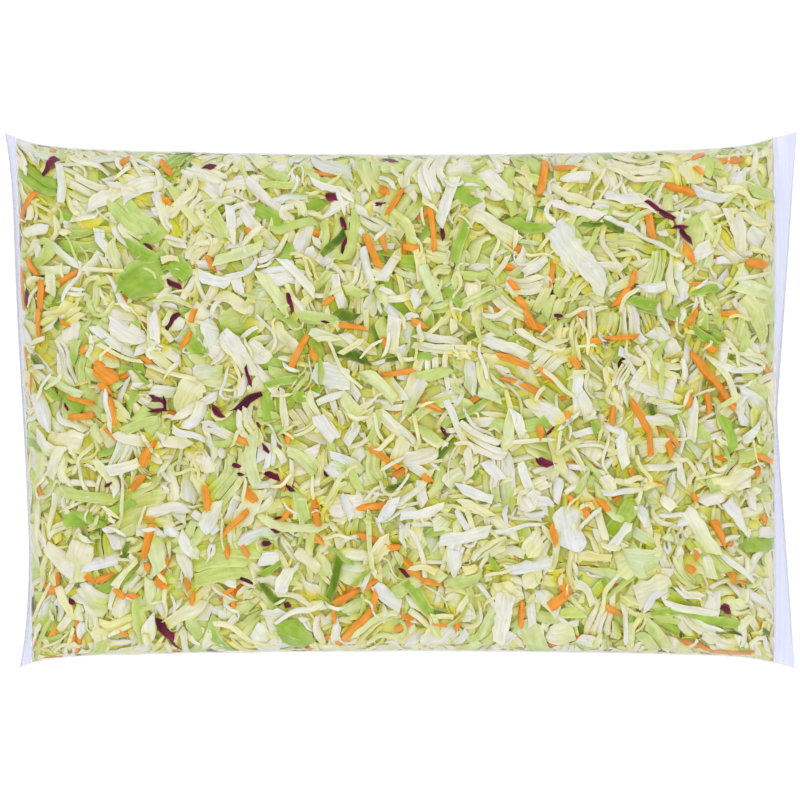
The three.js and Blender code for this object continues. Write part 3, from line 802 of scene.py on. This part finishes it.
def shreds_object(kind, level, roof, film_depth):
    """All the shreds of one kind, wrapped onto the bag."""
    parts = [shred_mesh(shred, seed) for seed, shred in enumerate(made[kind.name])]
    starts = np.cumsum([0] + [len(part[0]) for part in parts])
    along, around, heights, tint, grain = (
        np.concatenate([part[i] for part in parts]) for i in (0, 1, 2, 4, 5)
    )
    faces = np.concatenate([part[3] + start for part, start in zip(parts, starts)])
    # painted shade: how far each point lies under its neighbours sets how much of the deep shade tint it
    # takes
    under = sample(roof, along, around) - heights
    shade = np.clip((under - PAINTED_SHADE_START) / (PAINTED_SHADE_FULL - PAINTED_SHADE_START), 0, 1)[:, None]
    depth = (sample(level, along, around) - heights) * tightness(along, around)
    closest = sample(film_depth, along, around) + CLEARANCE
    depth = closest + SOFT_PRESS * np.logaddexp(0, (depth + CLEARANCE - closest) / SOFT_PRESS)
    tint = np.clip(tint * mix(1, PAINTED_DEEP_SHADE, shade), 0, 0.94)
    attributes = {"tint": np.hstack([tint, np.ones((len(tint), 1))]), "grain": grain}
    points = surface(along, around, depth)
    return mesh_object(kind.name, points, faces, attributes, smooth_angle=math.radians(55))


def nearness(along, around, zone=SIDE_ZONE):
    """1 at the sides and seals of the bag, where it is seen edge-on, and 0 away from them."""
    half_turn = np.mod(around + GIRTH / 4, GIRTH / 2) - GIRTH / 4
    from_edge = np.minimum(np.abs(half_turn), np.minimum(along, RUN - along))
    return np.clip(1 - from_edge / zone, 0, 1)


def tightness(along, around):
    return 1 - SIDE_TIGHTNESS * nearness(along, around)


def show_right(y):
    return mix(RIGHT_SHOW_LEAST, RIGHT_SHOW_CORNER, np.abs(y - RIGHT_FOLD) / (LAYFLAT / 2 - RIGHT_FOLD))


def show_left(y):
    wave = LEFT_SHOW_WAVE * np.sin(2 * np.pi * y / LEFT_WAVE_LENGTH)
    return LEFT_SHOW + wave + LEFT_SHOW_CORNER * np.abs(y / (LAYFLAT / 2)) ** 6


def fin_ring(side, around, out):
    """One ring of a fin, with out from 0 at the root to 1 at the edge."""
    across, up = section(around)
    across = across / across.max()
    y = across * (LAYFLAT / 2 - EAR * (1 - out))
    corner = LAYFLAT / 2
    if side > 0:
        root = ROOT_RIGHT
        reach = show_right(y) / show_right(corner) * (LENGTH / 2 - ROOT_RIGHT)
    else:
        root = root_left(y)
        reach = show_left(y) / show_left(corner) * (LENGTH / 2 + root_left(corner))
    hang = np.sqrt(FIN_WIDTH**2 - reach**2)
    tilt = np.arctan2(1.3 * hang * out**0.3, 1.6 * reach * (1 - out) ** 0.6)
    rib = RIB_HEIGHT * math.sin(2 * math.pi * out * FIN_WIDTH / RIB_PITCH) * min(1, 6 * out)
    lift = up * FIN_THICKNESS / 2 + rib
    x = root + side * (reach * (1 - (1 - out) ** 1.6) + lift * np.sin(tilt))
    z = seal_z(y) - hang * out**1.3 + lift * np.cos(tilt)
    return np.stack([x, y, z], axis=-1)


def ring_places(step):
    """Places round the tube about a step apart, an even number of them."""
    count = 2 * int(GIRTH / step / 2)
    return (np.arange(count) + 0.5) * GIRTH / count


def film_haze_and_sheen(along, around):
    """Share of light that the film scatters over the bag itself, with a painted sheen along its sides,
    seals and far side.
    """
    patches = np.interp(along, np.linspace(0, RUN, HAZE_PATCHES), rng.random(HAZE_PATCHES))
    near = nearness(along, around, HAZE_AND_SHEEN_ZONE) ** EDGE_HAZE_FALL
    haze_and_sheen = HAZE + EDGE_HAZE_AND_SHEEN * near * mix(PATCH_LEAST, 1, patches)
    veil_and_sheen = np.interp(along / RUN, *zip(*VEIL_AND_SHEEN)) * (around < GIRTH / 4)
    return np.maximum(haze_and_sheen, veil_and_sheen * np.sqrt(nearness(along, around, VEIL_ZONE)))


def film_object(film_depth):
    around = ring_places(FILM_STEP)
    count = len(around)
    stations = np.linspace(0, RUN, int(RUN / FILM_STEP))
    rings = [fin_ring(-1, around, out) for out in np.linspace(1, 0, FIN_STEPS + 1)[:-1]]
    for along in stations:
        to_seal = min(along, RUN - along)
        settled = min(1.0, to_seal / SETTLED)
        gather = PUCKER * max(0.0, 1 - to_seal / PUCKER_REACH) * settled
        across, _ = section(around)
        pucker = gather * np.cos(2 * np.pi * across * LAYFLAT / 2 / PUCKER_PITCH + 2 * np.sin(9 * across))
        depth = sample(film_depth, np.full(count, along), around) * settled - pucker
        rings.append(surface(np.full(count, along), around, depth))
    rings += [fin_ring(1, around, out) for out in np.linspace(0, 1, FIN_STEPS + 1)[1:]]
    body = slice(FIN_STEPS, -FIN_STEPS)
    to_seals = np.minimum(stations, RUN - stations)[:, None]
    fin = np.ones((len(rings), count))
    fin[body] = np.clip(1 - to_seals / SEAL_TINT_REACH, 0, 1)
    haze_and_sheen = np.full((len(rings), count), FIN_HAZE)
    haze_and_sheen[body] = film_haze_and_sheen(stations[:, None], around[None, :])
    faces = ring_faces(len(rings), count)
    attributes = {"fin": fin.reshape(-1, 1), "haze_and_sheen": haze_and_sheen.reshape(-1, 1)}
    return mesh_object("film", np.concatenate(rings), faces, attributes)


def core_object(level):
    around = ring_places(CORE_STEP)
    count = len(around)
    bumps = blurred(rng.standard_normal((ROWS, COLUMNS)), 2.0)
    bumps *= CORE_BUMPS / bumps.std()
    rings = []
    for along in np.linspace(CORE_END, RUN - CORE_END, int(RUN / CORE_STEP)):
        spots = np.full(count, along)
        depth = sample(level, spots, around) + CORE_GAP + sample(bumps, spots, around)
        depth = np.maximum(depth * tightness(spots, around), CORE_LEAST_DEPTH)
        rings.append(surface(spots, around, depth))
    return mesh_object("core", np.concatenate(rings), ring_faces(len(rings), count))


# Materials
STREAKS = (0.09, 0.75, 3.7)  # along a shred, across it, and from one shred to the next
THROUGH = 0.14  # share of light that goes through a leaf
LIGHT_THROUGH = (1.0, 1.0, 0.5)  # a leaf lets little blue light through
FILM_REFLECTION = 0.013
FILM_TINT = (0.985, 0.985, 0.985, 1)
FIN_TINT = (0.83, 0.84, 0.955, 1)
# painted highlight: whiter streaks of the fins' tint, standing in for highlights on the seal's ribs
FIN_RIB_HIGHLIGHT_TINT = (0.88, 0.895, 0.975, 1)
FIN_HIGHLIGHT_STREAKS = (420.0, 9.0, 420.0)  # painted highlights of the seal's ribs, drawn out along the seals
# tint of the film's haze and of the painted sheen along its sides
HAZE_AND_SHEEN_TINT = (0.8, 0.815, 0.86, 1)


class Nodes:
    """Short calls to add and link the shader nodes of a material or a world."""

    def __init__(self, owner):
        owner.use_nodes = True
        owner.node_tree.nodes.clear()
        self.owner = owner
        self.tree = owner.node_tree

    def add(self, kind, settings=None, numbered=None, **named):
        """A new node, with its inputs given by number, or by name with _ for a space."""
        node = self.tree.nodes.new("ShaderNode" + kind)
        for key, value in (settings or {}).items():
            setattr(node, key, value)
        inputs = {key.replace("_", " "): value for key, value in named.items()}
        for key, value in {**(numbered or {}), **inputs}.items():
            self.put(node.inputs[key], value)
        return node

    def put(self, socket, value):
        if isinstance(value, bpy.types.NodeSocket):
            self.tree.links.new(value, socket)
        else:
            socket.default_value = value

    def attribute(self, name, output):
        return self.add("Attribute", {"attribute_name": name}).outputs[output]

    def multiply(self, a, b):
        return self.add("VectorMath", {"operation": "MULTIPLY"}, {0: a, 1: b}).outputs[0]

    def mix_colours(self, share, a, b):
        return self.add("Mix", {"data_type": "RGBA"}, {0: share, 6: a, 7: b}).outputs[2]

    def mix_shaders(self, share, a, b):
        return self.add("MixShader", numbered={0: share, 1: a.outputs[0], 2: b.outputs[0]})

    def finish(self, shader, output="OutputMaterial"):
        self.add(output, Surface=shader.outputs[0])
        return self.owner


def leaf_material(name, streak=0.18, roughness=0.45, mottle=0.55):
    """Cut leaf or root: its own tint with streaks along its length, and some light through it."""
    n = Nodes(bpy.data.materials.new(name))
    grain = n.attribute("grain", "Vector")
    stretched = n.multiply(grain, STREAKS)
    streaks = n.add("TexNoise", Vector=stretched, Scale=1.0, Detail=3.0, Roughness=0.6).outputs["Fac"]
    limits = {"To_Min": 1 - streak, "To_Max": 1 + 0.35 * streak}
    shade = n.add("MapRange", Value=streaks, From_Min=0.3, From_Max=0.7, **limits).outputs["Result"]
    tint = n.add("VectorMath", {"operation": "SCALE"}, {0: n.attribute("tint", "Color")}, Scale=shade)
    patches = n.add("TexNoise", Vector=grain, Scale=0.16, Detail=2.0).outputs["Fac"]
    pale = n.add("MapRange", Value=patches, From_Min=0.42, From_Max=0.7, To_Max=mottle)
    lighter = n.add("Gamma", Color=tint.outputs[0], Gamma=0.6)
    mottled = n.mix_colours(pale.outputs["Result"], tint.outputs[0], lighter.outputs[0])
    bump = n.add("Bump", Height=streaks, Strength=0.5, Distance=0.0004).outputs[0]
    leaf = n.add("BsdfPrincipled", Base_Color=mottled, Roughness=roughness, Normal=bump)
    n.put(leaf.inputs["Specular IOR Level"], 0.1)
    glow = n.add("BsdfTranslucent", Color=n.multiply(mottled, LIGHT_THROUGH))
    return n.finish(n.mix_shaders(THROUGH, leaf, glow))


def core_material():
    n = Nodes(bpy.data.materials.new("core"))
    noise = n.add("TexNoise", Vector=n.add("TexCoord").outputs["Object"], Scale=140.0, Detail=3.0)
    ramp = n.add("ValToRGB", Fac=noise.outputs["Fac"])
    # the core's colours, with the painted shade of the deep pile in them
    stops = ((0.35, LIGHT_GREEN), (0.65, CORE_SHADE_COLOUR))
    for element, (position, colour) in zip(ramp.color_ramp.elements, stops):
        element.position = position
        element.color = (*colour, 1)
    return n.finish(n.add("BsdfPrincipled", Roughness=0.5, Base_Color=ramp.outputs["Color"]))


def film_material():
    """Clear film: what is behind it shows, with gloss over it, a cool tint at the seals with painted
    highlight streaks, and haze with a painted sheen at its sides.
    """
    n = Nodes(bpy.data.materials.new("film"))
    place = n.add("TexCoord").outputs["Object"]
    # painted highlights: whiter streaks along the seal's ribs
    streaks = n.add("TexNoise", Vector=n.multiply(place, FIN_HIGHLIGHT_STREAKS), Scale=1.0, Detail=2.0)
    painted_rib_highlights = n.add("MapRange", Value=streaks.outputs["Fac"], From_Min=0.46, From_Max=0.72)
    fin_tint = n.mix_colours(painted_rib_highlights.outputs["Result"], FIN_TINT, FIN_RIB_HIGHLIGHT_TINT)
    clear = n.add("BsdfTransparent", Color=n.mix_colours(n.attribute("fin", "Fac"), FILM_TINT, fin_tint))
    wrinkles = n.add("TexNoise", Vector=place, Scale=90.0, Detail=3.0, Roughness=0.5)
    bump = n.add("Bump", Height=wrinkles.outputs["Fac"], Strength=0.6, Distance=0.0012).outputs[0]
    gloss = n.add("BsdfGlossy", Roughness=0.12, Normal=bump)
    # A thin film has no inside to be caught in, so it reflects alike on both faces
    facing = n.add("LayerWeight", Blend=0.5, Normal=bump).outputs["Facing"]
    steep = n.add("Math", {"operation": "POWER"}, {0: facing, 1: 4.0})
    share = n.add("MapRange", Value=steep.outputs[0], To_Min=FILM_REFLECTION)
    glossy = n.mix_shaders(share.outputs[0], clear, gloss)
    # haze over the film, and the painted sheen along its sides and seals, as a white diffuse layer
    haze_and_sheen = n.add("BsdfDiffuse", Color=HAZE_AND_SHEEN_TINT)
    return n.finish(n.mix_shaders(n.attribute("haze_and_sheen", "Fac"), glossy, haze_and_sheen))


# Stage
FLOOR_HALF = 4000.0
FLOOR_Z = -0.4
FLOOR_GLOW = 0.96
SKY_COLOUR = (0.99, 0.99, 1.0, 1)
SKY_SIDES = 1.16
SKY_OVERHEAD = 0.54
OVERHEAD_ANGLES = (42, 16)  # degrees from straight up between which the sky darkens
LAMP_POWER = 29.0
LAMP_HEIGHT = 2.5
LAMP_SIZE = (2.2, 1.6)
SENSOR = 36.0
LENS = 190.0


def make_floor():
    corners = ((-1, -1), (1, -1), (1, 1), (-1, 1))
    points = np.array([(x * FLOOR_HALF, y * FLOOR_HALF, FLOOR_Z) for x, y in corners])
    floor = mesh_object("floor", points, [[0, 1, 2, 3]])
    n = Nodes(bpy.data.materials.new("floor"))
    white = n.add("BsdfDiffuse", Color=(0.12, 0.12, 0.12, 1))
    light = n.add("Emission", Color=(1, 1, 1, 1), Strength=FLOOR_GLOW)
    both = n.add("AddShader", numbered={0: white.outputs[0], 1: light.outputs[0]})
    floor.data.materials.append(n.finish(both))


def make_light():
    """A white sky, darker overhead so that little of it is reflected in the film, and a lamp."""
    n = Nodes(bpy.data.worlds.new("studio"))
    direction = n.add("TexCoord").outputs["Generated"]
    up = n.add("SeparateXYZ", numbered={0: direction}).outputs["Z"]
    start, end = (math.cos(math.radians(angle)) for angle in OVERHEAD_ANGLES)
    limits = {"From_Min": start, "From_Max": end, "To_Min": SKY_SIDES, "To_Max": SKY_OVERHEAD}
    strength = n.add("MapRange", {"interpolation_type": "SMOOTHSTEP"}, Value=up, **limits)
    sky = n.add("Background", Color=SKY_COLOUR, Strength=strength.outputs[0])
    bpy.context.scene.world = n.finish(sky, "OutputWorld")
    lamp = bpy.data.lights.new("softbox", "AREA")
    lamp.shape = "RECTANGLE"
    lamp.size, lamp.size_y = LAMP_SIZE
    lamp.energy = LAMP_POWER
    box = bpy.data.objects.new("softbox", lamp)
    box.location = (0, 0, LAMP_HEIGHT)
    box.visible_camera = False
    box.visible_glossy = False
    bpy.context.scene.collection.objects.link(box)


def make_camera():
    camera = bpy.data.cameras.new("camera")
    camera.sensor_width = SENSOR
    camera.lens = LENS
    eye = bpy.data.objects.new("camera", camera)
    eye.location = (0, 0, SEAM_Z * MM + IMAGE_SIZE * PIXEL * MM * LENS / SENSOR)
    bpy.context.scene.collection.objects.link(eye)
    bpy.context.scene.camera = eye


def main():
    fill_bag()
    roof = blurred(dilated(height, 1), 1.5)
    envelope = blurred(dilated(height, 2), 3.0) - PRESS
    rows = (np.arange(ROWS) + 0.5) * CELL
    columns = (np.arange(COLUMNS) + 0.5) * GIRTH / COLUMNS
    row, column = np.meshgrid(rows, columns, indexing="ij")
    level = mix(blurred(envelope, LEVEL_SPREAD), envelope, nearness(row, column))
    film_depth = -np.clip(envelope - level, -RELIEF_LIMIT, RELIEF_LIMIT)

    film = film_object(film_depth)
    film.data.materials.append(film_material())
    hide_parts("bag")
    core = core_object(level)
    core.data.materials.append(core_material())
    cabbage = leaf_material("cut_cabbage")
    carrot = leaf_material("cut_carrot", streak=0.3, roughness=0.36, mottle=0.4)
    red = leaf_material("cut_red_cabbage", streak=0.5, roughness=0.34, mottle=0.0)
    pieces = [film, core]
    for kind in KINDS:
        piece = shreds_object(kind, level, roof, film_depth)
        piece.data.materials.append({"carrot": carrot, "red_cabbage": red}.get(kind.slot, cabbage))
        pieces.append(piece)
    for piece in pieces:
        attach(piece, "root")

    make_floor()
    make_light()
    make_camera()
    bpy.context.scene.view_settings.view_transform = "Standard"


main()
